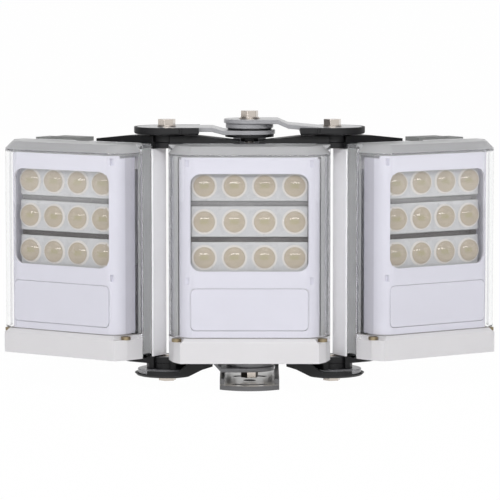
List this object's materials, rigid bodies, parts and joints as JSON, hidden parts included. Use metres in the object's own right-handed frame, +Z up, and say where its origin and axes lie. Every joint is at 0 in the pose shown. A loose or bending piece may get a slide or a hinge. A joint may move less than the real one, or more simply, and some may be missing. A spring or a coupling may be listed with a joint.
{
  "type": "white light illuminator",
  "caption": "White light security illuminator: LED panels with clear covers on hinged arms, with a bolted yoke and a tilting wall foot.",
  "frame": {"origin": "centre of the foot's mounting hole, on the underside of the foot, which is also the pan axis", "axes": "+X to the right of someone looking at the lights, -Y the way the middle panel shines, +Z up along the pan axis"},
  "size_m": [0.4264, 0.1383, 0.233],
  "materials": {
    "white_metal": "satin white powder coat on cast aluminium",
    "clear_plastic": "clear polished polycarbonate",
    "grey_seal": "matt grey",
    "white_plastic": "satin white",
    "lens_plastic": "moulded clear lens over warm emitters",
    "board": "lacquered board",
    "band_plastic": "satin white",
    "brass": "plain",
    "black_plastic": "fine satin",
    "black_metal": "satin black",
    "arm_metal": "light grey powder coat on steel",
    "stainless": "plain stainless",
    "grey_metal": "gloss dark grey on steel"
  },
  "bodies": {
    "base": {"foot": "grey_metal", "tilt_bolts": "stainless", "tilt_nuts": "stainless"},
    "tilt_yoke": {"yoke": "arm_metal"},
    "head": {"centre_housing": "white_metal", "centre_cover": "clear_plastic", "centre_seal_frame": "grey_seal", "centre_fascia": "white_plastic", "centre_lower_plate": "white_plastic", "centre_lens_strips": "lens_plastic", "centre_led_board": "board", "centre_driver": "board", "centre_end_band": "band_plastic", "centre_band_screws": "brass", "centre_cable_gland": "black_plastic", "centre_upper_left_bracket": "black_metal", "centre_upper_right_bracket": "black_metal", "centre_lower_left_bracket": "black_metal", "centre_lower_right_bracket": "black_metal", "upper_left_arm": "arm_metal", "upper_right_arm": "arm_metal", "lower_left_arm": "arm_metal", "lower_right_arm": "arm_metal", "upper_left_cap": "black_plastic", "upper_right_cap": "black_plastic", "lower_left_cap": "black_plastic", "lower_right_cap": "black_plastic", "hinge_bolts": "stainless", "pan_bolts": "stainless", "pan_nuts": "black_metal", "pan_spacer": "black_plastic", "friction_washer": "black_plastic"},
    "left_panel": {"left_housing": "white_metal", "left_cover": "clear_plastic", "left_seal_frame": "grey_seal", "left_fascia": "white_plastic", "left_lower_plate": "white_plastic", "left_lens_strips": "lens_plastic", "left_led_board": "board", "left_driver": "board", "left_end_band": "band_plastic", "left_band_screws": "brass", "left_cable_gland": "black_plastic", "left_upper_bracket": "black_metal", "left_lower_bracket": "black_metal", "left_hinge_nuts": "stainless"},
    "right_panel": {"right_housing": "white_metal", "right_cover": "clear_plastic", "right_seal_frame": "grey_seal", "right_fascia": "white_plastic", "right_lower_plate": "white_plastic", "right_lens_strips": "lens_plastic", "right_led_board": "board", "right_driver": "board", "right_end_band": "band_plastic", "right_band_screws": "brass", "right_cable_gland": "black_plastic", "right_upper_bracket": "black_metal", "right_lower_bracket": "black_metal", "right_hinge_nuts": "stainless"}
  },
  "joints": [
    {"name": "tilt", "type": "hinge", "parent": "base", "child": "tilt_yoke", "pos_m": [0, 0.06, 0.02], "axis": [-1, 0, 0], "range_deg": [0, 40]},
    {"name": "pan", "type": "hinge", "parent": "tilt_yoke", "child": "head", "pos_m": [0, 0, 0.12], "axis": [0, 0, 1], "range_deg": [-20, 20]},
    {"name": "left_swing", "type": "hinge", "parent": "head", "child": "left_panel", "pos_m": [-0.0697, 0, 0.12], "axis": [0, 0, 1], "range_deg": [-17, 33]},
    {"name": "right_swing", "type": "hinge", "parent": "head", "child": "right_panel", "pos_m": [0.0697, 0, 0.12], "axis": [0, 0, -1], "range_deg": [-17, 33]}
  ]
}
